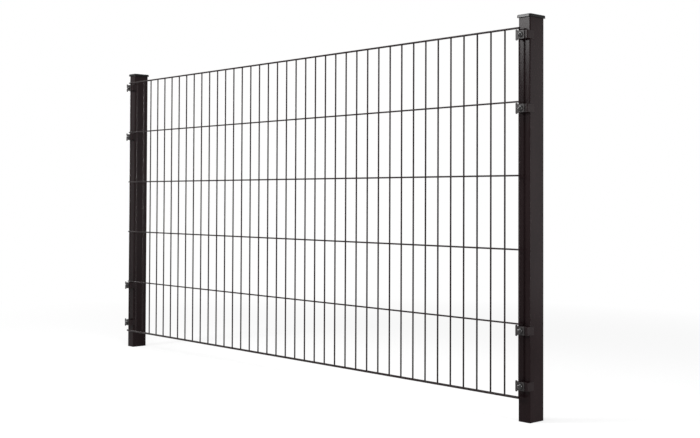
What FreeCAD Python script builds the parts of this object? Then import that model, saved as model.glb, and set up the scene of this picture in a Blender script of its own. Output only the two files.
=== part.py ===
import FreeCAD, Part
import os
import Sketcher

# Welded mesh fence panel: one bay of rod mesh clamped to two rectangular posts.
# Millimetres, +Z up. The origin is the centre of the left post's foot, +X runs along
# the fence to the right post and +Y points to the back, away from the mesh.

# Driving dimensions: alias, value and what it measures.
SIZES = [
    ("post_width", 40, "post tube, across its front face"),
    ("post_depth", 60, "post tube, front to back"),
    ("post_wall", 2, "post tube, wall"),
    ("post_corner", 3, "post tube, outer corner radius"),
    ("post_height", 1095.5, "post tube, foot to cut top"),
    ("cap_height", 8, "post cap, thickness of its head"),
    ("cap_overhang", 4.5, "post cap, reach past the tube on each side"),
    ("cap_corner", 6, "post cap, corner radius in plan"),
    ("cap_bevel", 1, "post cap, bevel of its top edge"),
    ("plug_depth", 16, "post cap, depth of the plug in the tube"),
    ("plug_wall", 2, "post cap, wall of the plug"),
    ("plug_clearance", 0.3, "post cap, room between plug and tube"),
    ("wire_count", 41, "mesh, number of upright wires"),
    ("wire_pitch", 50, "mesh, spacing of the upright wires"),
    ("wire_dia", 4.8, "mesh, upright wire over its coating"),
    ("rod_count", 6, "mesh, number of level rods"),
    ("rod_pitch", 200, "mesh, spacing of the level rods"),
    ("bottom_pitch", 197.5, "mesh, bottom rod to the rod over it"),
    ("rod_dia", 4.8, "mesh, inner level rods over their coating"),
    ("top_rod_dia", 5.8, "mesh, top rod over its coating"),
    ("bottom_rod_dia", 7.2, "mesh, bottom rod over its coating"),
    ("rod_overhang", 4, "mesh, rod end past the end wire's axis"),
    ("weld_set_in", 0.6, "mesh, how far rod and wire sink into each other"),
    ("ground_gap", 67.5, "mesh, bottom rod's axis above the foot"),
    ("end_wire_inset", 8, "mesh, end wire's axis to the post's axis"),
    ("bracket_sheet", 2.5, "clamp bracket, sheet thickness"),
    ("bracket_height", 23, "clamp bracket, height of the strip"),
    ("bracket_reach", 17, "clamp bracket, bolt to the outside of its short leg"),
    ("bracket_depth", 9, "clamp bracket, post face to the wires"),
    ("bracket_leg", 14, "clamp bracket, leg along the post's side"),
    ("bend_radius", 1.2, "clamp bracket, inner radius of the bends"),
    ("wire_room", 0.3, "clamp bracket, room between the end wire and its step"),
    ("plate_thickness", 3, "clamp plate, thickness"),
    ("plate_height", 23, "clamp plate, height of its tongue"),
    ("plate_reach", 12.5, "clamp plate, bolt to the tongue's end"),
    ("plate_head_reach", 17, "clamp plate, bolt to the head's end"),
    ("plate_head_width", 6, "clamp plate, width of its tall head"),
    ("plate_ear", 3.5, "clamp plate, how far its head stands past the tongue"),
    ("plate_corner", 1.5, "clamp plate, cut of its outer corners"),
    ("clamp_gap", 0.5, "room between a rod and the clamp under it"),
    ("bottom_clamp_gap", 12, "room between the bottom rod and the clamp over it"),
    ("bolt_dia", 8, "clamp bolt, shank"),
    ("bolt_clearance", 0.3, "clamp bolt, room round the shank"),
]

doc = FreeCAD.newDocument("welded_mesh_fence_panel")
sheet = doc.addObject("Spreadsheet::Sheet", "sizes")
for row, (alias, value, meaning) in enumerate(SIZES, start=1):
    sheet.set(f"A{row}", meaning)
    sheet.set(f"B{row}", str(value))
    sheet.setAlias(f"B{row}", alias)
doc.recompute()

# Lengths that follow from the driving dimensions.
MESH_LENGTH = "(sizes.wire_count - 1) * sizes.wire_pitch"
MESH_HEIGHT = "((sizes.rod_count - 2) * sizes.rod_pitch + sizes.bottom_pitch)"
POST_SPACING = f"({MESH_LENGTH} + 2 * sizes.end_wire_inset)"
POST_FACE = "(-sizes.post_depth / 2)"
INNER_CORNER = "(sizes.post_corner - sizes.post_wall)"
WIRE_BACK = f"({POST_FACE} - sizes.bracket_depth)"
WIRE_FRONT = f"({WIRE_BACK} - sizes.wire_dia)"
BOLT_HOLE = "(sizes.bolt_dia + 2 * sizes.bolt_clearance)"
BEND_OUTSIDE = "(sizes.bend_radius + sizes.bracket_sheet)"
PLATE_HEAD_HALF = "(sizes.plate_height / 2 + sizes.plate_ear)"

POSTS = {"left": "0", "right": POST_SPACING}

# Each clamp hangs under a rod, but the bottom one stands over its rod.
TOP_ROD = f"(sizes.ground_gap + {MESH_HEIGHT})"
CLAMP_DROP = f"(sizes.clamp_gap + {PLATE_HEAD_HALF})"
CLAMP_RISE = f"(sizes.bottom_clamp_gap + {PLATE_HEAD_HALF})"
CLAMP_HEIGHTS = {
    "top": f"({TOP_ROD} - sizes.top_rod_dia / 2 - {CLAMP_DROP})",
    "upper": f"({TOP_ROD} - sizes.rod_pitch - sizes.rod_dia / 2 - {CLAMP_DROP})",
    "lower": f"(sizes.ground_gap + sizes.bottom_pitch - sizes.rod_dia / 2 - {CLAMP_DROP})",
    "bottom": f"(sizes.ground_gap + sizes.bottom_rod_dia / 2 + {CLAMP_RISE})",
}


def new_body(name, x="0", y="0", z="0"):
    """Start a sub-part with its own label, placed by formulas."""
    body = doc.addObject("PartDesign::Body", name)
    body.Label = name
    for axis, formula in zip("xyz", (x, y, z)):
        body.setExpression(f"Placement.Base.{axis}", formula)
    return body


def origin_feature(body, role):
    return next(feature for feature in body.Origin.OriginFeatures if feature.Role == role)


def new_sketch(body, plane, offset="0"):
    """Sketch on one of the body's own planes, moved along the plane's normal by a formula."""
    sketch = body.newObject("Sketcher::SketchObject", f"{body.Name}_sketch")
    sketch.AttachmentSupport = [(origin_feature(body, plane), "")]
    sketch.MapMode = "FlatFace"
    sketch.setExpression("AttachmentOffset.Base.z", offset)
    return sketch


def pin_point(sketch, geometry, end, name, formulas):
    """Hold a point at two formulas, measured from the sketch's origin."""
    start = sketch.getPoint(geometry, end)
    for kind, letter, value, formula in zip(("DistanceX", "DistanceY"), "xy", start, formulas):
        index = sketch.addConstraint(Sketcher.Constraint(kind, -1, 1, geometry, end, value))
        sketch.renameConstraint(index, f"{name}_{letter}")
        sketch.setExpression(f"Constraints.{name}_{letter}", formula)


def draw_outline(sketch, corners, name="corner"):
    """Close straight edges through corners, each held at its own pair of formulas."""
    turn = 360 / len(corners)
    ring = [FreeCAD.Vector(10, 0, 0) for _ in corners]
    spin = FreeCAD.Vector(0, 0, 1)
    ring = [FreeCAD.Rotation(spin, turn * i).multVec(point) for i, point in enumerate(ring)]
    first = sketch.GeometryCount
    for start, end in zip(ring, ring[1:] + ring[:1]):
        sketch.addGeometry(Part.LineSegment(start, end), False)
    edges = list(range(first, first + len(corners)))
    for edge, following in zip(edges, edges[1:] + edges[:1]):
        sketch.addConstraint(Sketcher.Constraint("Coincident", edge, 2, following, 1))
    for number, (edge, corner) in enumerate(zip(edges, corners)):
        pin_point(sketch, edge, 1, f"{name}{number}", corner)


def draw_box(sketch, half_width, half_depth):
    """Rectangle about the sketch's origin."""
    signs = [(1, 1), (-1, 1), (-1, -1), (1, -1)]
    draw_outline(sketch, [(f"{a} * ({half_width})", f"{b} * ({half_depth})") for a, b in signs])


def draw_bar(sketch, diameter, x="0", y="0"):
    """Eight-sided section of a bar, as wide across its flats as the round bar is thick."""
    flat = f"{diameter} / 2"
    corner = f"{diameter} / 2 * tan(22.5 deg)"
    steps = [(1, flat, 1, corner), (1, corner, 1, flat), (-1, corner, 1, flat), (-1, flat, 1, corner)]
    steps += [(-1, flat, -1, corner), (-1, corner, -1, flat), (1, corner, -1, flat), (1, flat, -1, corner)]
    draw_outline(sketch, [(f"{x} + {a} * ({u})", f"{y} + {b} * ({v})") for a, u, b, v in steps])


def draw_circle(sketch, name, diameter, x, y):
    circle = sketch.addGeometry(Part.Circle(FreeCAD.Vector(1, 1, 0), FreeCAD.Vector(0, 0, 1), 5), False)
    index = sketch.addConstraint(Sketcher.Constraint("Diameter", circle, 10))
    sketch.renameConstraint(index, f"{name}_dia")
    sketch.setExpression(f"Constraints.{name}_dia", diameter)
    pin_point(sketch, circle, 3, name, (x, y))


def pad(body, sketch, length, reverse=False):
    feature = body.newObject("PartDesign::Pad", f"{body.Name}_pad")
    feature.Profile = sketch
    feature.setExpression("Length", length)
    feature.Reversed = reverse
    doc.recompute()
    return feature


def pocket(body, sketch, length, reverse=False):
    """Cut a sketch out of the body, and make sure that it cut something."""
    before = body.Shape.Volume
    feature = body.newObject("PartDesign::Pocket", f"{body.Name}_pocket")
    feature.Profile = sketch
    feature.setExpression("Length", length)
    feature.Reversed = reverse
    doc.recompute()
    if body.Shape.Volume >= before:
        raise RuntimeError(f"{feature.Name} cuts nothing")
    return feature


def repeat(body, original, axis, count, length):
    """Copies of a feature along one of the body's own axes."""
    pattern = body.newObject("PartDesign::LinearPattern", f"{body.Name}_pattern")
    pattern.Originals = [original]
    pattern.Direction = (origin_feature(body, axis), [""])
    pattern.setExpression("Length", length)
    pattern.setExpression("Occurrences", count)
    body.Tip = pattern
    doc.recompute()
    return pattern


def dress_edges(body, kind, dimension, size, wanted):
    """Fillet or chamfer the edges of the body's last feature that pass the test."""
    base = body.Tip
    names = [f"Edge{n}" for n, edge in enumerate(base.Shape.Edges, start=1) if wanted(edge)]
    feature = body.newObject(f"PartDesign::{kind}", f"{body.Name}_{kind.lower()}")
    feature.Base = (base, names)
    feature.setExpression(dimension, size)
    doc.recompute()
    return feature


def round_edges(body, radius, wanted):
    return dress_edges(body, "Fillet", "Radius", radius, wanted)


def cut_edges(body, size, wanted):
    return dress_edges(body, "Chamfer", "Size", size, wanted)


def runs_along(edge, axis):
    """True for a straight edge along a unit vector."""
    if not isinstance(edge.Curve, Part.Line):
        return False
    return abs(edge.Curve.Direction.dot(axis)) > 0.999


UPRIGHT = FreeCAD.Vector(0, 0, 1)
ACROSS = FreeCAD.Vector(0, 1, 0)


def lies_level(edge, height):
    """True for an edge that lies in the level plane at a height."""
    return all(abs(edge.valueAt(end).z - height) < 1e-6 for end in edge.ParameterRange)


def make_post(side):
    """Rectangular tube, open at both ends, with a bolt hole in its front wall at each clamp.

    Inside the tube a flat stands for each small corner radius.
    """
    body = new_body(f"{side}_post", x=POSTS[side])
    section = new_sketch(body, "XY_Plane")
    draw_box(section, "sizes.post_width / 2", "sizes.post_depth / 2")
    pad(body, section, "sizes.post_height")
    round_edges(body, "sizes.post_corner", lambda edge: runs_along(edge, UPRIGHT))

    bore = new_sketch(body, "XY_Plane")
    draw_box(bore, "sizes.post_width / 2 - sizes.post_wall", "sizes.post_depth / 2 - sizes.post_wall")
    pocket(body, bore, "sizes.post_height", reverse=True)
    inner_corner = (sheet.post_width / 2 - sheet.post_wall, sheet.post_depth / 2 - sheet.post_wall)

    def in_the_bore(edge):
        if not runs_along(edge, UPRIGHT):
            return False
        at = edge.valueAt(edge.FirstParameter)
        return abs(abs(at.x) - inner_corner[0]) < 1e-6 and abs(abs(at.y) - inner_corner[1]) < 1e-6

    cut_edges(body, INNER_CORNER, in_the_bore)

    holes = new_sketch(body, "XZ_Plane")
    for level, height in CLAMP_HEIGHTS.items():
        draw_circle(holes, level, BOLT_HOLE, "0", height)
    pocket(body, holes, "sizes.post_depth", reverse=True)
    return body


def make_cap(side):
    """Moulded cap: a head that overhangs the tube and a hollow plug that sits inside it."""
    body = new_body(f"{side}_post_cap", x=POSTS[side], z="sizes.post_height")
    head = new_sketch(body, "XY_Plane")
    draw_box(head, "sizes.post_width / 2 + sizes.cap_overhang", "sizes.post_depth / 2 + sizes.cap_overhang")
    pad(body, head, "sizes.cap_height")
    round_edges(body, "sizes.cap_corner", lambda edge: runs_along(edge, UPRIGHT))
    cut_edges(body, "sizes.cap_bevel", lambda edge: lies_level(edge, sheet.cap_height))

    plug_inset = "(sizes.post_wall + sizes.plug_clearance)"
    plug = new_sketch(body, "XY_Plane")
    draw_box(plug, f"sizes.post_width / 2 - {plug_inset}", f"sizes.post_depth / 2 - {plug_inset}")
    pad(body, plug, "sizes.plug_depth", reverse=True)
    cut_edges(body, INNER_CORNER, lambda edge: runs_along(edge, UPRIGHT) and edge.CenterOfMass.z < 0)
    hollow = new_sketch(body, "XY_Plane")
    hollow_inset = f"({plug_inset} + sizes.plug_wall)"
    draw_box(hollow, f"sizes.post_width / 2 - {hollow_inset}", f"sizes.post_depth / 2 - {hollow_inset}")
    pocket(body, hollow, "sizes.plug_depth")
    return body


def make_mesh():
    """Upright wires with level rods welded across their fronts, the edge rods thicker."""
    body = new_body("mesh_panel", x="sizes.end_wire_inset", y=f"{WIRE_BACK} - sizes.wire_dia / 2",
                    z="sizes.ground_gap")
    rod_length = f"{MESH_LENGTH} + 2 * sizes.rod_overhang"

    def add_rod(diameter, height):
        section = new_sketch(body, "YZ_Plane", offset="-sizes.rod_overhang")
        front = f"sizes.weld_set_in - (sizes.wire_dia + {diameter}) / 2"
        draw_bar(section, diameter, x=front, y=height)
        return pad(body, section, rod_length)

    add_rod("sizes.bottom_rod_dia", "0")
    wire = new_sketch(body, "XY_Plane", offset="-sizes.bottom_rod_dia / 2")
    draw_bar(wire, "sizes.wire_dia")
    wire_length = f"{MESH_HEIGHT} + (sizes.bottom_rod_dia + sizes.top_rod_dia) / 2"
    first_wire = pad(body, wire, wire_length)
    repeat(body, first_wire, "X_Axis", "sizes.wire_count", MESH_LENGTH)

    add_rod("sizes.top_rod_dia", MESH_HEIGHT)
    inner_rod = add_rod("sizes.rod_dia", "sizes.bottom_pitch")
    repeat(body, inner_rod, "Z_Axis", "sizes.rod_count - 2", "(sizes.rod_count - 3) * sizes.rod_pitch")
    return body


def make_bracket(side, level):
    """Bent strip: a short leg on the post's face, a front that passes behind the end wire and steps out
    to bear the end of the plate, and a long leg along the post's side.

    At the step and on the inside of each bend a flat stands for the small radius.
    """
    body = new_body(f"{side}_{level}_clamp_bracket", x=POSTS[side], y=POST_FACE,
                    z=f"{CLAMP_HEIGHTS[level]} - sizes.bracket_height / 2")
    reach = "-sizes.bracket_reach"
    step = "sizes.end_wire_inset + sizes.wire_dia / 2 + sizes.wire_room"
    corner = "sizes.post_width / 2"
    seat = "-sizes.bracket_depth"
    front = "-(sizes.bracket_depth + sizes.wire_dia)"
    strip = new_sketch(body, "XY_Plane")
    draw_outline(strip, [
        (reach, "0"),
        (reach, seat),
        (step, seat),
        (step, front),
        (f"{corner} + sizes.bracket_sheet", front),
        (f"{corner} + sizes.bracket_sheet", "sizes.bracket_leg"),
        (corner, "sizes.bracket_leg"),
        (corner, f"{front} + sizes.bracket_sheet"),
        (f"{step} + sizes.bracket_sheet", f"{front} + sizes.bracket_sheet"),
        (f"{step} + sizes.bracket_sheet", f"{seat} + sizes.bracket_sheet"),
        (f"{reach} + sizes.bracket_sheet", f"{seat} + sizes.bracket_sheet"),
        (f"{reach} + sizes.bracket_sheet", "0"),
    ])
    pad(body, strip, "sizes.bracket_height")

    thick = sheet.bracket_sheet
    step_at = sheet.end_wire_inset + sheet.wire_dia / 2 + sheet.wire_room
    corner_at = sheet.post_width / 2
    seat_at = -sheet.bracket_depth
    front_at = seat_at - sheet.wire_dia
    outside_bends = [(-sheet.bracket_reach, seat_at), (corner_at + thick, front_at)]
    inside_bends = [(thick - sheet.bracket_reach, seat_at + thick), (corner_at, front_at + thick)]
    step_bends = [(step_at, seat_at), (step_at, front_at),
                  (step_at + thick, seat_at + thick), (step_at + thick, front_at + thick)]

    def at_one_of(places):
        def test(edge):
            at = edge.valueAt(edge.FirstParameter)
            near = [abs(at.x - x) < 1e-6 and abs(at.y - y) < 1e-6 for x, y in places]
            return runs_along(edge, UPRIGHT) and any(near)
        return test

    round_edges(body, BEND_OUTSIDE, at_one_of(outside_bends))
    cut_edges(body, "sizes.bend_radius", at_one_of(inside_bends + step_bends))

    hole = new_sketch(body, "XZ_Plane")
    draw_circle(hole, "bolt", BOLT_HOLE, "0", "sizes.bracket_height / 2")
    pocket(body, hole, "sizes.bracket_depth + sizes.bracket_sheet", reverse=True)
    return body


def make_plate(side, level):
    """Flat plate in front of the wires: a tongue under the bolt and a taller head at one end."""
    body = new_body(f"{side}_{level}_clamp_plate", x=POSTS[side], y=WIRE_FRONT, z=CLAMP_HEIGHTS[level])
    head_end = "-sizes.plate_head_reach"
    neck = f"{head_end} + sizes.plate_head_width"
    tongue = "sizes.plate_height / 2"
    tall = PLATE_HEAD_HALF
    face = new_sketch(body, "XZ_Plane")
    draw_outline(face, [
        ("sizes.plate_reach", f"-{tongue}"),
        ("sizes.plate_reach", tongue),
        (neck, tongue),
        (neck, tall),
        (head_end, tall),
        (head_end, f"-{tall}"),
        (neck, f"-{tall}"),
        (neck, f"-{tongue}"),
    ])
    draw_circle(face, "bolt", BOLT_HOLE, "0", "0")
    pad(body, face, "sizes.plate_thickness")
    head_half = sheet.plate_height / 2 + sheet.plate_ear

    def at_an_outer_corner(edge):
        at = edge.CenterOfMass
        outermost = abs(abs(at.z) - head_half) < 1e-6 or abs(at.x - sheet.plate_reach) < 1e-6
        return runs_along(edge, ACROSS) and outermost

    cut_edges(body, "sizes.plate_corner", at_an_outer_corner)
    return body


subparts = [make_mesh()]
for side in POSTS:
    subparts.append(make_post(side))
    subparts.append(make_cap(side))
    for level in CLAMP_HEIGHTS:
        subparts.append(make_bracket(side, level))
        subparts.append(make_plate(side, level))
doc.recompute()

for item in doc.Objects:
    if "Invalid" in item.State or "Error" in item.State:
        raise RuntimeError(f"{item.Name} failed: {item.State}")
for body in subparts:
    if body.Shape.isNull() or not body.Shape.isValid() or len(body.Shape.Solids) != 1:
        raise RuntimeError(f"{body.Label} is not one valid solid")

os.makedirs("parts", exist_ok=True)
for body in subparts:
    body.Shape.exportStep(f"parts/{body.Label}.step")
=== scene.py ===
"""Welded mesh fence panel: the looks of one fence bay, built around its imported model."""

import math
from itertools import product

import bmesh
import bpy
from mathutils import Matrix, Vector


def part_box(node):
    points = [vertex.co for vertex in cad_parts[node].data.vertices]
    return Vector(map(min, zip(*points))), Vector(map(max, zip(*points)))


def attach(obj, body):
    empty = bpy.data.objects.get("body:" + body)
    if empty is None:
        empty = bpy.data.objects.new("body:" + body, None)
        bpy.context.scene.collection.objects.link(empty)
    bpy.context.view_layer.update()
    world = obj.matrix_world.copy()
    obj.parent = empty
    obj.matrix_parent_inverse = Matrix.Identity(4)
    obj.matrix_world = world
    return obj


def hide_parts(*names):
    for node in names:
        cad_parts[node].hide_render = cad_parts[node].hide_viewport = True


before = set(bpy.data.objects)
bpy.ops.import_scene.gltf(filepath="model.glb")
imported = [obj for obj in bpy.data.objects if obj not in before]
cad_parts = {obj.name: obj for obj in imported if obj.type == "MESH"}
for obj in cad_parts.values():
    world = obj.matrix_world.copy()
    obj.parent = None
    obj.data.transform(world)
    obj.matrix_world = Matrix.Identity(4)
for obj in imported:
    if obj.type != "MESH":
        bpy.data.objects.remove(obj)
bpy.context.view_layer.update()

bl_info = {
    "name": "Welded Mesh Fence Panel",
    "version": (1, 0, 0),
    "blender": (4, 5, 0),
    "location": "View3D > Sidebar > Fence",
    "description": "Dresses one bay of welded rod mesh fence: mesh, posts, caps, clamps and bolts",
    "category": "Object",
}

MM = 0.001
SIDES = ("left", "right")
LEVELS = ("top", "upper", "lower", "bottom")
WHITE = (1.0, 1.0, 1.0, 1.0)

# Points closer than this are one point, and faces that turn by less than this are one face.
SAME_POINT = 0.001 * MM
SAME_FACE = math.radians(0.5)

# An edge that turns by more than this is rounded: on bent and moulded pieces, and on round bars and bolts.
PLATE_EDGE = math.radians(40)
BAR_EDGE = math.radians(60)

# A bead is repeated at every crossing, so it has few faces.
BEAD_SEGMENTS = 8
BEAD_RINGS = 5

# Steps around a bolt, and from the rim of its dome to the top.
BOLT_SIDES = 28
DOME_STEPS = 8

# Places of the colour sockets on a Mix node, where sockets for numbers and vectors have the same names.
MIX_FIRST = 6
MIX_SECOND = 7
MIX_RESULT = 2


def linear(hex_colour):
    """Linear RGBA of an sRGB hex colour."""
    channels = [int(hex_colour[i:i + 2], 16) / 255 for i in (1, 3, 5)]
    return [c / 12.92 if c <= 0.04045 else ((c + 0.055) / 1.055) ** 2.4 for c in channels] + [1.0]


def length(name, description, millimetres):
    """A length that the user may set, in metres, with its default in millimetres."""
    return bpy.props.FloatProperty(name=name, description=description, default=millimetres * MM, min=0.0,
                                   precision=4, subtype="DISTANCE", unit="LENGTH")


def number(name, description, default):
    """A count that the user may set."""
    return bpy.props.IntProperty(name=name, description=description, default=default, min=1)


def colour(name, description, hex_colour):
    """A colour that the user may set, with its default in sRGB hex."""
    return bpy.props.FloatVectorProperty(name=name, description=description, default=linear(hex_colour),
                                         size=4, min=0.0, max=1.0, subtype="COLOR")


class FenceSizes(bpy.types.PropertyGroup):
    """Sizes of the dressed pieces."""
    wire_count: number("Wires", "Upright wires of the mesh", 41)
    rod_count: number("Rods", "Level rods of the mesh", 6)
    rod_pitch: length("Rod Pitch", "Spacing of the rods over the lowest cells", 200)
    wire: length("Wire", "Thickness of the upright wires", 4.8)
    rod: length("Rod", "Thickness of the inner level rods", 4.8)
    top_rod: length("Top Rod", "Thickness of the top rod", 5.8)
    bottom_rod: length("Bottom Rod", "Thickness of the bottom rod", 7.2)
    rod_overhang: length("Rod Overhang", "Rod end past the axis of the end wire", 4)
    bar_sides: number("Bar Sides", "Sides of each round wire and rod", 16)
    cut_edge: length("Cut Edge", "Rounding at the cut ends of wires, rods and bolts", 0.5)
    weld_set_in: length("Weld Set-in", "How far rod and wire sink into each other", 0.6)
    weld_spread: length("Weld Spread", "Half width of the bead at a weld", 3)
    weld_height: length("Weld Height", "Half thickness of the bead at a weld", 1.4)
    soft_edge: length("Soft Edge", "Rounding that the coating leaves on the edges of a clamp", 0.5)
    cap_edge: length("Cap Edge", "Rounding of the edges of a moulded cap", 0.4)
    cap_draft: length("Cap Draft", "How far the sides of a cap lean in on their way up", 0.6)
    bolt_head: length("Bolt Head", "Width of the domed bolt head", 16.5)
    bolt_dome: length("Bolt Dome", "Height of the dome over its rim", 6.5)
    bolt_rim: length("Bolt Rim", "Straight rim under the dome", 1)
    bolt_shank: length("Bolt Shank", "Thickness of the bolt's shank", 8)
    bolt_reach: length("Bolt Reach", "Bolt's end behind the post's front face", 8)


class FenceColours(bpy.types.PropertyGroup):
    """Colours of the finishes and of the floor."""
    coat: colour("Coat", "Powder coat", "#140c0d")
    dusty_coat: colour("Dusty Coat", "Powder coat where a film of dust dulls it", "#1a1213")
    # The plates wear the same powder coat as the brackets. These two plate colours are painted lighter than
    # the coat to stand in for the light the plates catch, as a painted sheen.
    painted_light_plate_tone: colour("Plate Coat", "Powder coat of the clamp plates, painted lighter for the light they catch", "#252323")
    painted_light_dusty_plate_tone: colour("Dusty Plate Coat", "Dusty coat of the clamp plates, painted lighter for the light they catch", "#2c2a2a")
    bolt: colour("Bolt", "Black plating of the bolts", "#151414")
    cap: colour("Cap", "Moulded plastic of the caps", "#121111")
    floor: colour("Floor", "Pale studio floor", "#e6e6e6")


def sizes():
    """The sizes as they are set in the scene."""
    return bpy.context.scene.fence_sizes


def colours():
    """The colours as they are set in the scene."""
    return bpy.context.scene.fence_colours


def add_node(tree, kind, inputs=None, **settings):
    """Add a node with its settings. Each input takes a value, a socket to link, or a list of sockets."""
    node = tree.nodes.new(kind)
    for name, value in settings.items():
        setattr(node, name, value)
    for name, value in (inputs or {}).items():
        sources = value if isinstance(value, list) else [value]
        for source in sources:
            if isinstance(source, bpy.types.NodeSocket):
                tree.links.new(source, node.inputs[name])
            else:
                node.inputs[name].default_value = source
    return node


def new_finish(name):
    """A new material, its node tree and its shader."""
    material = bpy.data.materials.new(name)
    material.use_nodes = True
    return material, material.node_tree, material.node_tree.nodes["Principled BSDF"]


def fine_bump(tree, shader, place, spacing, detail, strength, depth):
    """Give a shader a fine bump of a real spacing and depth, and return its noise."""
    noise = add_node(tree, "ShaderNodeTexNoise", {
        "Vector": place, "Scale": 1 / spacing, "Detail": detail}).outputs["Fac"]
    bump = add_node(tree, "ShaderNodeBump", {"Height": noise, "Strength": strength, "Distance": depth})
    tree.links.new(bump.outputs["Normal"], shader.inputs["Normal"])
    return noise


def uneven_gloss(tree, shader, noise, roughness):
    """Let the roughness of a shader follow a noise between two values."""
    smooth, rough = roughness
    spread = add_node(tree, "ShaderNodeMapRange", {"Value": noise, "To Min": smooth, "To Max": rough})
    tree.links.new(spread.outputs["Result"], shader.inputs["Roughness"])


def powder_coat(name, peel, roughness, specular, clean, dusty):
    """Powder coat baked on steel: near black, smooth enough to show soft reflections, with the
    fine orange peel of the flowed powder and slow changes of gloss where dust settles.
    The real peel is about 1 mm across and too fine to show, so it is drawn coarser."""
    dust_patch = 60 * MM
    taller_than_wide = (1.0, 1.0, 0.3)
    # The film of dust starts at the first value of its noise and is full at the second.
    film_start, film_full = 0.35, 0.75
    material, tree, shader = new_finish(name)
    place = add_node(tree, "ShaderNodeTexCoord").outputs["Object"]
    fine_bump(tree, shader, place, spacing=peel, detail=2.0, strength=0.08, depth=0.05 * MM)
    drift = add_node(tree, "ShaderNodeMapping", {"Vector": place, "Scale": taller_than_wide})
    dust = add_node(tree, "ShaderNodeTexNoise", {
        "Vector": drift.outputs["Vector"], "Scale": 1 / dust_patch, "Detail": 4.0}).outputs["Fac"]
    uneven_gloss(tree, shader, dust, roughness)
    film = add_node(tree, "ShaderNodeMapRange", {
        "Value": dust, "From Min": film_start, "From Max": film_full})
    tone = add_node(tree, "ShaderNodeMix", {
        "Factor": film.outputs["Result"], MIX_FIRST: clean, MIX_SECOND: dusty}, data_type="RGBA")
    tree.links.new(tone.outputs[MIX_RESULT], shader.inputs["Base Color"])
    shader.inputs["Specular IOR Level"].default_value = specular
    return material


def black_plating():
    """Black plated and sealed steel: glossier than the powder coat, so each dome holds a clear
    highlight."""
    material, tree, shader = new_finish("black plated steel")
    place = add_node(tree, "ShaderNodeTexCoord").outputs["Object"]
    grain = fine_bump(tree, shader, place, spacing=0.8 * MM, detail=3.0, strength=0.05, depth=0.02 * MM)
    uneven_gloss(tree, shader, grain, (0.16, 0.28))
    shader.inputs["Base Color"].default_value = colours().bolt
    shader.inputs["Specular IOR Level"].default_value = 0.35
    return material


def moulded_plastic():
    """Injection moulded polyamide: black, with a fine sparked grain that spreads the highlights."""
    material, tree, shader = new_finish("moulded polyamide")
    place = add_node(tree, "ShaderNodeTexCoord").outputs["Object"]
    grain = fine_bump(tree, shader, place, spacing=0.7 * MM, detail=3.0, strength=0.15, depth=0.05 * MM)
    uneven_gloss(tree, shader, grain, (0.15, 0.24))
    shader.inputs["Base Color"].default_value = colours().cap
    shader.inputs["Specular IOR Level"].default_value = 0.09
    return material


def new_object(name, data):
    """A new object in the scene, at the origin."""
    piece = bpy.data.objects.new(name, data)
    bpy.context.scene.collection.objects.link(piece)
    return piece


def take_place(piece, slot, *nodes):
    """Make a finished piece ride with the fence and stand for its nodes."""
    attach(piece, "root")
    if nodes:
        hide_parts(*nodes)


def plain_mesh(piece):
    """Make what a piece's modifiers give its own plain mesh, and remove them."""
    evaluated = piece.evaluated_get(bpy.context.evaluated_depsgraph_get())
    mesh = bpy.data.meshes.new_from_object(evaluated)
    mesh.name = piece.name
    piece.modifiers.clear()
    piece.data = mesh


def round_edges(piece, width, angle):
    """Round every edge of a piece that turns by more than an angle, with its flats left flat."""
    piece.data.shade_smooth()
    bevel = piece.modifiers.new("round_edges", "BEVEL")
    bevel.limit_method = "ANGLE"
    bevel.angle_limit = angle
    bevel.width = width
    bevel.segments = 2
    bevel.use_clamp_overlap = False
    flats = piece.modifiers.new("flat_faces", "WEIGHTED_NORMAL")
    flats.weight = 100
    plain_mesh(piece)


def softened(name, node, width, material, shape=None):
    """A copy of a solid with its edges rounded as coating or moulding leaves them. The shape function,
    where one is given, first moves each of its points."""
    solid = bmesh.new()
    solid.from_mesh(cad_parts[node].data)
    bmesh.ops.remove_doubles(solid, verts=solid.verts, dist=SAME_POINT)
    bmesh.ops.dissolve_limit(solid, angle_limit=SAME_FACE, verts=solid.verts, edges=solid.edges)
    if shape:
        for point in solid.verts:
            shape(point.co)
    mesh = bpy.data.meshes.new(name)
    solid.to_mesh(mesh)
    solid.free()
    mesh.materials.append(material)
    piece = new_object(name, mesh)
    round_edges(piece, width, PLATE_EDGE)
    return piece


def new_tree(name, inputs):
    """An empty geometry tree with named inputs, and the sockets that give them."""
    tree = bpy.data.node_groups.new(name, "GeometryNodeTree")
    for title, kind in inputs.items():
        tree.interface.new_socket(title, in_out="INPUT", socket_type=f"NodeSocket{kind}")
    tree.interface.new_socket("Geometry", in_out="OUTPUT", socket_type="NodeSocketGeometry")
    return tree, tree.nodes.new("NodeGroupInput").outputs


def end_tree(tree, parts, material):
    """Join the parts, make the instances real, give them their finish and pass them on."""
    joined = add_node(tree, "GeometryNodeJoinGeometry", {"Geometry": parts})
    real = add_node(tree, "GeometryNodeRealizeInstances", {"Geometry": joined.outputs["Geometry"]})
    done = add_node(tree, "GeometryNodeSetMaterial", {
        "Geometry": real.outputs["Geometry"], "Material": material})
    add_node(tree, "NodeGroupOutput", {"Geometry": done.outputs["Geometry"]})


def run_tree(name, tree, values, start_mesh=None):
    """Run a geometry tree with its named inputs set and return the result as a plain object."""
    piece = new_object(name, start_mesh or bpy.data.meshes.new(name))
    modifier = piece.modifiers.new("tree", "NODES")
    modifier.node_group = tree
    for socket in tree.interface.items_tree:
        if socket.in_out == "INPUT" and socket.name in values:
            modifier[socket.identifier] = values[socket.name]
    plain_mesh(piece)
    return piece


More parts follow.
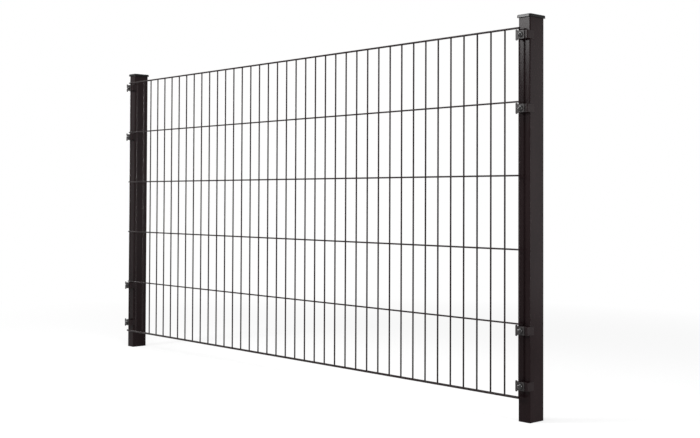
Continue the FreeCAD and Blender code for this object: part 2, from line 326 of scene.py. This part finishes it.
def mesh_field_tree():
    """Upright wires in a row, level rods across their fronts and a weld at every crossing."""
    tree, given = new_tree("mesh_field", {
        "Bar Sides": "Int", "Wires": "Int",
        "First Wire": "Vector", "Wire Step": "Vector", "Wire Run": "Vector", "Wire Radius": "Float",
        "Rod Run": "Vector", "Rod Step": "Vector", "Inner Rods": "Int",
        "Bottom Rod": "Vector", "Bottom Radius": "Float", "Bottom Weld": "Vector",
        "Inner Rod": "Vector", "Inner Radius": "Float", "Inner Weld": "Vector",
        "Top Rod": "Vector", "Top Radius": "Float", "Top Weld": "Vector",
        "Weld Size": "Vector", "Coat": "Material"})

    def row(count, start, step, instance):
        line = add_node(tree, "GeometryNodeMeshLine", {
            "Count": count, "Start Location": start, "Offset": step})
        placed = add_node(tree, "GeometryNodeInstanceOnPoints", {
            "Points": line.outputs["Mesh"], "Instance": instance})
        return placed.outputs["Instances"]

    def round_bar(run, radius):
        axis = add_node(tree, "GeometryNodeCurvePrimitiveLine", {"End": run})
        section = add_node(tree, "GeometryNodeCurvePrimitiveCircle", {
            "Resolution": given["Bar Sides"], "Radius": radius})
        bar = add_node(tree, "GeometryNodeCurveToMesh", {
            "Curve": axis.outputs["Curve"], "Profile Curve": section.outputs["Curve"], "Fill Caps": True})
        return bar.outputs["Mesh"]

    ball = add_node(tree, "GeometryNodeMeshUVSphere", {
        "Segments": BEAD_SEGMENTS, "Rings": BEAD_RINGS, "Radius": 1.0})
    bead = add_node(tree, "GeometryNodeTransform", {
        "Geometry": ball.outputs["Mesh"], "Scale": given["Weld Size"]})
    wire = round_bar(given["Wire Run"], given["Wire Radius"])
    parts = [row(given["Wires"], given["First Wire"], given["Wire Step"], wire)]
    for kind, count in (("Bottom", 1), ("Inner", given["Inner Rods"]), ("Top", 1)):
        rod = round_bar(given["Rod Run"], given[f"{kind} Radius"])
        parts.append(row(count, given[f"{kind} Rod"], given["Rod Step"], rod))
        column = row(count, (0.0, 0.0, 0.0), given["Rod Step"], bead.outputs["Geometry"])
        parts.append(row(given["Wires"], given[f"{kind} Weld"], given["Wire Step"], column))
    end_tree(tree, parts, given["Coat"])
    return tree


class FENCE_OT_mesh_field(bpy.types.Operator):
    """Weld the mesh field from round wires and rods"""
    bl_idname = "fence.mesh_field"
    bl_label = "Mesh Field"

    def execute(self, context):
        size = sizes()
        low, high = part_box("mesh_panel")
        first_wire = low.x + size.rod_overhang
        spacing = (high.x - low.x - 2 * size.rod_overhang) / (size.wire_count - 1)
        wire_axis = high.y - size.wire / 2
        weld = wire_axis - (size.wire - size.weld_set_in) / 2
        inner_rods = size.rod_count - 2
        top = high.z - size.top_rod / 2
        coat = powder_coat("powder coat baked on welded wire", peel=3 * MM, roughness=(0.24, 0.4),
                           specular=0.08, clean=colours().coat, dusty=colours().dusty_coat)
        values = {
            "Bar Sides": size.bar_sides,
            "Wires": size.wire_count,
            "First Wire": (first_wire, wire_axis, low.z),
            "Wire Step": (spacing, 0.0, 0.0),
            "Wire Run": (0.0, 0.0, high.z - low.z),
            "Wire Radius": size.wire / 2,
            "Rod Run": (high.x - low.x, 0.0, 0.0),
            "Rod Step": (0.0, 0.0, size.rod_pitch),
            "Inner Rods": inner_rods,
            "Weld Size": (size.weld_spread, size.weld_height, size.weld_spread),
            "Coat": coat,
        }
        rods = {
            "Bottom": (size.bottom_rod, low.z + size.bottom_rod / 2),
            "Inner": (size.rod, top - inner_rods * size.rod_pitch),
            "Top": (size.top_rod, top),
        }
        for kind, (thickness, height) in rods.items():
            rod_axis = wire_axis - (size.wire + thickness) / 2 + size.weld_set_in
            values[f"{kind} Rod"] = (low.x, rod_axis, height)
            values[f"{kind} Radius"] = thickness / 2
            values[f"{kind} Weld"] = (first_wire, weld, height)
        field = run_tree("mesh_field", mesh_field_tree(), values)
        round_edges(field, size.cut_edge, BAR_EDGE)
        take_place(field, "mesh_coating", "mesh_panel")
        return {"FINISHED"}


class FENCE_OT_posts(bpy.types.Operator):
    """Powder coat the two post tubes"""
    bl_idname = "fence.posts"
    bl_label = "Posts"

    def execute(self, context):
        coat = powder_coat("powder coat baked on steel tube", peel=4 * MM, roughness=(0.16, 0.26),
                           specular=0.05, clean=colours().coat, dusty=colours().dusty_coat)
        for side in SIDES:
            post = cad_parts[f"{side}_post"]
            post.data.materials.clear()
            post.data.materials.append(coat)
        return {"FINISHED"}


class FENCE_OT_caps(bpy.types.Operator):
    """Mould the two post caps"""
    bl_idname = "fence.caps"
    bl_label = "Post Caps"

    def execute(self, context):
        plastic = moulded_plastic()
        for side in SIDES:
            node = f"{side}_post_cap"
            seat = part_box(f"{side}_post")[1].z
            low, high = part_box(node)
            middle = (low + high) / 2

            def lean_in(point):
                rise = max(0.0, (point.z - seat) / (high.z - seat))
                for axis in (0, 1):
                    point[axis] -= math.copysign(rise * sizes().cap_draft, point[axis] - middle[axis])

            cap = softened(f"{side}_cap", node, sizes().cap_edge, plastic, lean_in)
            take_place(cap, "cap_plastic", node)
        return {"FINISHED"}


class FENCE_OT_clamps(bpy.types.Operator):
    """Powder coat the clamp brackets and plates"""
    bl_idname = "fence.clamps"
    bl_label = "Clamps"

    def execute(self, context):
        coats = {
            "bracket": powder_coat("powder coat baked on bent strip", peel=3 * MM, roughness=(0.32, 0.42),
                                   specular=0.085, clean=colours().coat, dusty=colours().dusty_coat),
            # The plates' finish is the brackets' coat with a lighter base colour: painted light for the
            # light the plates catch, not a different coat.
            "plate": powder_coat("powder coat baked on pressed plate", peel=3 * MM, roughness=(0.36, 0.46),
                                 specular=0.11, clean=colours().painted_light_plate_tone,
                                 dusty=colours().painted_light_dusty_plate_tone),
        }
        for side, level in product(SIDES, LEVELS):
            for kind, coat in coats.items():
                node = f"{side}_{level}_clamp_{kind}"
                piece = softened(f"{side}_{level}_{kind}", node, sizes().soft_edge, coat)
                take_place(piece, "clamp_coating", node)
        return {"FINISHED"}


def domed_bolt():
    """One round bolt along Y, its domed head in front of the origin and its shank behind."""
    size = sizes()
    head, shank, edge = size.bolt_head / 2, size.bolt_shank / 2, size.cut_edge
    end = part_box("left_post")[0].y + size.bolt_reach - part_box("left_top_clamp_plate")[0].y
    outline = [(0.0, end), (shank - edge, end), (shank, end - edge), (shank, 0.0), (head, 0.0)]
    for step in range(DOME_STEPS + 1):
        turn = math.pi / 2 * step / DOME_STEPS
        outline.append((head * math.cos(turn), -size.bolt_rim - size.bolt_dome * math.sin(turn)))
    bolt = bmesh.new()
    points = [bolt.verts.new((radius, depth, 0.0)) for radius, depth in outline]
    edges = [bolt.edges.new(pair) for pair in zip(points, points[1:])]
    bmesh.ops.spin(bolt, geom=points + edges, cent=(0, 0, 0), axis=(0, 1, 0), angle=2 * math.pi,
                   steps=BOLT_SIDES)
    bmesh.ops.remove_doubles(bolt, verts=bolt.verts, dist=SAME_POINT)
    bmesh.ops.recalc_face_normals(bolt, faces=bolt.faces)
    mesh = bpy.data.meshes.new("domed_bolt")
    bolt.to_mesh(mesh)
    bolt.free()
    return new_object("domed_bolt", mesh)


def bolt_tree():
    """The given bolt on every given point."""
    tree, given = new_tree("clamp_bolts", {"Geometry": "Geometry", "Bolt": "Object", "Plating": "Material"})
    bolt = add_node(tree, "GeometryNodeObjectInfo", {"Object": given["Bolt"]})
    placed = add_node(tree, "GeometryNodeInstanceOnPoints", {
        "Points": given["Geometry"], "Instance": bolt.outputs["Geometry"]})
    end_tree(tree, [placed.outputs["Instances"]], given["Plating"])
    return tree


class FENCE_OT_bolts(bpy.types.Operator):
    """Set a domed bolt in every clamp"""
    bl_idname = "fence.bolts"
    bl_label = "Bolts"

    def execute(self, context):
        places = []
        for side, level in product(SIDES, LEVELS):
            post_low, post_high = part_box(f"{side}_post")
            low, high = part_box(f"{side}_{level}_clamp_plate")
            places.append(((post_low.x + post_high.x) / 2, low.y, (low.z + high.z) / 2))
        points = bpy.data.meshes.new("bolt_places")
        points.from_pydata(places, [], [])
        pattern = domed_bolt()
        bolts = run_tree("clamp_bolts", bolt_tree(), {"Bolt": pattern, "Plating": black_plating()}, points)
        bpy.data.objects.remove(pattern)
        round_edges(bolts, sizes().cut_edge / 2, BAR_EDGE)
        take_place(bolts, "clamp_coating")
        return {"FINISHED"}


# The camera stands in front and to the right of the bay, at a little over half its height.
# Its place is in metres and its lens in millimetres.
CAMERA_PLACE = (3.907, -2.3886, 0.6005)
CAMERA_TURN = math.radians(47.693)
CAMERA_PITCH = math.radians(1.18)
CAMERA_ROLL = math.radians(0.226)
CAMERA_LENS = 56.75
CAMERA_SHIFT = (0.0, -0.0614)

# The floor reaches far behind the bay. Its paper glows white to the eye, and less so near the bay,
# where it has to show the shadow: the glow grows between two distances from the bay's middle.
FLOOR_HALF = 40.0
BAY_MIDDLE = (1.0, 0.0, 0.0)
GLOW_DISTANCES = (1.2, 3.0)
GLOW_SHARES = (0.75, 1.0)

# Strength of the white world as a fill light. Seen directly or mirrored, it has a strength of 1.
WORLD_FILL = 0.3

# Softboxes, in metres and watts. The front one lights the front faces, the side and right ones the
# right-hand faces of posts and clamps, and the high one the tops and the bolts' domes. The left one
# draws light lines on the wires.
SOFTBOXES = {
    "front_softbox": {"place": (0.1, -2.4, 1.86), "aim": (1.8, 0.0, 0.9), "size": (1.1, 0.85), "power": 98},
    "side_softbox": {"place": (3.9, 2.4, 0.75), "aim": (1.8, 0.0, 0.6), "size": (1.2, 1.6), "power": 11},
    "right_softbox": {"place": (4.6, 0.15, 0.6), "aim": (2.0, 0.0, 0.45), "size": (0.6, 1.2), "power": 66},
    "high_softbox": {"place": (1.7, -0.9, 2.6), "aim": (1.7, -0.9, 0.0), "size": (2.1, 1.4), "power": 80},
    "left_softbox": {"place": (-3.0, -0.25, 1.0), "aim": (0.3, 0.0, 0.8), "size": (0.2, 1.3), "power": 40},
}


def add_softbox(name, place, aim, size, power):
    """A soft lamp that shines from its place to its aim, unseen by the camera."""
    lamp = bpy.data.lights.new(name, "AREA")
    lamp.shape = "RECTANGLE"
    lamp.size, lamp.size_y = size
    lamp.energy = power
    holder = new_object(name, lamp)
    holder.location = place
    holder.rotation_euler = (Vector(aim) - Vector(place)).to_track_quat("-Z", "Y").to_euler()
    holder.visible_camera = False


def seen_directly(tree):
    """One for rays that should show the plain white background, straight or mirrored, else zero."""
    path = add_node(tree, "ShaderNodeLightPath").outputs
    mirrored = add_node(tree, "ShaderNodeMath", {
        0: path["Is Glossy Ray"], 1: path["Is Transmission Ray"]}, operation="MAXIMUM")
    seen = add_node(tree, "ShaderNodeMath", {
        0: path["Is Camera Ray"], 1: mirrored.outputs["Value"]}, operation="MAXIMUM")
    return seen.outputs["Value"]


def white_world():
    """A world that is white where it is seen and only a soft fill where it lights the bay."""
    world = bpy.data.worlds.new("pale studio")
    world.use_nodes = True
    tree = world.node_tree
    background = tree.nodes["Background"]
    background.inputs["Color"].default_value = WHITE
    strength = add_node(tree, "ShaderNodeMapRange", {
        "Value": seen_directly(tree), "To Min": WORLD_FILL, "To Max": 1.0})
    tree.links.new(strength.outputs["Result"], background.inputs["Strength"])
    return world


def seamless_paper():
    """Seamless pale paper: nearly white to the eye, and it keeps a soft shadow."""
    material, tree, shader = new_finish("seamless paper")
    shader.inputs["Base Color"].default_value = colours().floor
    shader.inputs["Roughness"].default_value = 0.9
    shader.inputs["Specular IOR Level"].default_value = 0.0
    glow = add_node(tree, "ShaderNodeEmission", {"Color": WHITE, "Strength": 1.0})
    place = add_node(tree, "ShaderNodeTexCoord").outputs["Object"]
    distance = add_node(tree, "ShaderNodeVectorMath", {0: place, 1: BAY_MIDDLE}, operation="DISTANCE")
    near, far = GLOW_DISTANCES
    least, most = GLOW_SHARES
    growth = add_node(tree, "ShaderNodeMapRange", {
        "Value": distance.outputs["Value"],
        "From Min": near, "From Max": far, "To Min": least, "To Max": most})
    share = add_node(tree, "ShaderNodeMath", {
        0: seen_directly(tree), 1: growth.outputs["Result"]}, operation="MULTIPLY")
    mixed = add_node(tree, "ShaderNodeMixShader", {
        0: share.outputs["Value"], 1: shader.outputs["BSDF"], 2: glow.outputs["Emission"]})
    tree.links.new(mixed.outputs["Shader"], tree.nodes["Material Output"].inputs["Surface"])
    return material


def pale_floor():
    """One large square of paper under the bay."""
    mesh = bpy.data.meshes.new("floor")
    corners = [(-1, -1), (1, -1), (1, 1), (-1, 1)]
    mesh.from_pydata([(x * FLOOR_HALF, y * FLOOR_HALF, 0.0) for x, y in corners], [], [(0, 1, 2, 3)])
    mesh.materials.append(seamless_paper())
    return new_object("floor", mesh)


def photo_camera():
    """A camera at the viewing angle of the photograph."""
    camera = new_object("camera", bpy.data.cameras.new("camera"))
    camera.data.lens = CAMERA_LENS
    camera.data.shift_x, camera.data.shift_y = CAMERA_SHIFT
    turn = Matrix.Rotation(CAMERA_TURN, 4, "Z")
    lift = Matrix.Rotation(math.pi / 2 + CAMERA_PITCH, 4, "X")
    roll = Matrix.Rotation(CAMERA_ROLL, 4, "Z")
    camera.matrix_world = Matrix.Translation(CAMERA_PLACE) @ turn @ lift @ roll
    return camera


class FENCE_OT_stage(bpy.types.Operator):
    """Set up the pale floor, the soft lights and the camera"""
    bl_idname = "fence.stage"
    bl_label = "Stage"

    def execute(self, context):
        scene = context.scene
        scene.view_settings.view_transform = "Standard"
        scene.world = white_world()
        floor = pale_floor()
        for name, softbox in SOFTBOXES.items():
            add_softbox(name, **softbox)
        scene.camera = photo_camera()
        return {"FINISHED"}


class FENCE_PT_sidebar(bpy.types.Panel):
    """Lists the pieces of the fence and their sizes and colours"""
    bl_idname = "FENCE_PT_sidebar"
    bl_label = "Fence Panel"
    bl_space_type = "VIEW_3D"
    bl_region_type = "UI"
    bl_category = "Fence"

    def draw(self, context):
        for operator in OPERATORS:
            self.layout.operator(operator.bl_idname)
        for group in (context.scene.fence_sizes, context.scene.fence_colours):
            column = self.layout.column()
            for name in group.__annotations__:
                column.prop(group, name)


OPERATORS = (FENCE_OT_mesh_field, FENCE_OT_posts, FENCE_OT_caps,
             FENCE_OT_clamps, FENCE_OT_bolts, FENCE_OT_stage)
CLASSES = (FenceSizes, FenceColours) + OPERATORS + (FENCE_PT_sidebar,)


def register():
    for item in CLASSES:
        bpy.utils.register_class(item)
    bpy.types.Scene.fence_sizes = bpy.props.PointerProperty(type=FenceSizes)
    bpy.types.Scene.fence_colours = bpy.props.PointerProperty(type=FenceColours)


def unregister():
    del bpy.types.Scene.fence_colours
    del bpy.types.Scene.fence_sizes
    for item in reversed(CLASSES):
        bpy.utils.unregister_class(item)


def main():
    register()
    bpy.ops.fence.mesh_field()
    bpy.ops.fence.posts()
    bpy.ops.fence.caps()
    bpy.ops.fence.clamps()
    bpy.ops.fence.bolts()
    bpy.ops.fence.stage()


if __name__ == "__main__":
    main()
